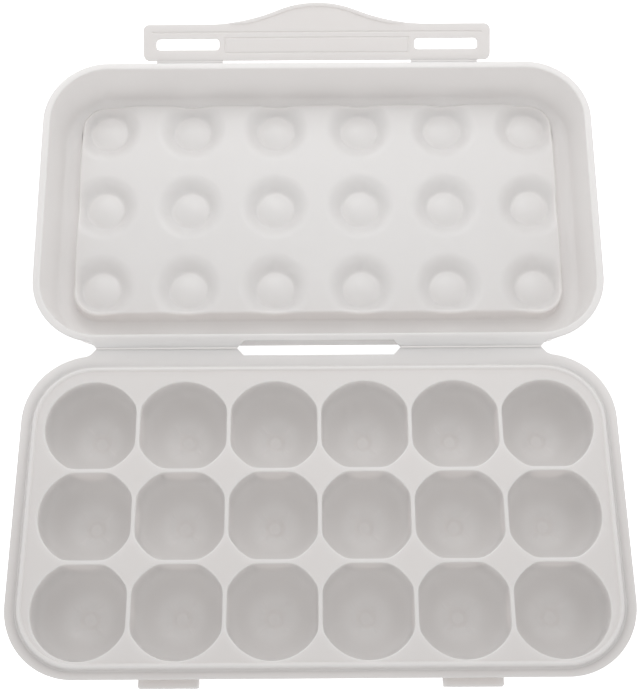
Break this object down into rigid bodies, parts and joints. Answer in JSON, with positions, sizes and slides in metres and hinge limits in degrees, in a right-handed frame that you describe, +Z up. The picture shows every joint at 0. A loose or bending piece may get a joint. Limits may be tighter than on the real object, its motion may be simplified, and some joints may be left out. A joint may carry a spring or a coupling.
{
  "type": "egg storage container",
  "caption": "Open egg storage container of milky plastic: a tray of round egg cups, a deep hinged lid with a pocket over each egg, and a folding latch strip with slots for the tray's lugs.",
  "frame": {"origin": "on the table, under the middle of the open container's bounding box", "axes": "+X to the right, +Y from the front of the tray over the hinge towards the latch, +Z up"},
  "size_m": [0.3104, 0.376, 0.0658],
  "materials": {
    "milky_plastic": "translucent milky moulded polypropylene, satin"
  },
  "bodies": {
    "tray": {"tray": "milky_plastic"},
    "lid": {"lid": "milky_plastic"},
    "latch": {"latch": "milky_plastic"}
  },
  "joints": [
    {"name": "lid_hinge", "type": "hinge", "parent": "tray", "child": "lid", "pos_m": [0, -0.01361, 0.03475], "axis": [1, 0, 0], "range_deg": [0, 174.5]},
    {"name": "latch_hinge", "type": "hinge", "parent": "lid", "child": "latch", "pos_m": [0, 0.1572, 0.0512], "axis": [1, 0, 0], "range_deg": [-20, 70], "stiffness_Nm_per_rad": 0.05, "springref_deg": 1.72}
  ]
}
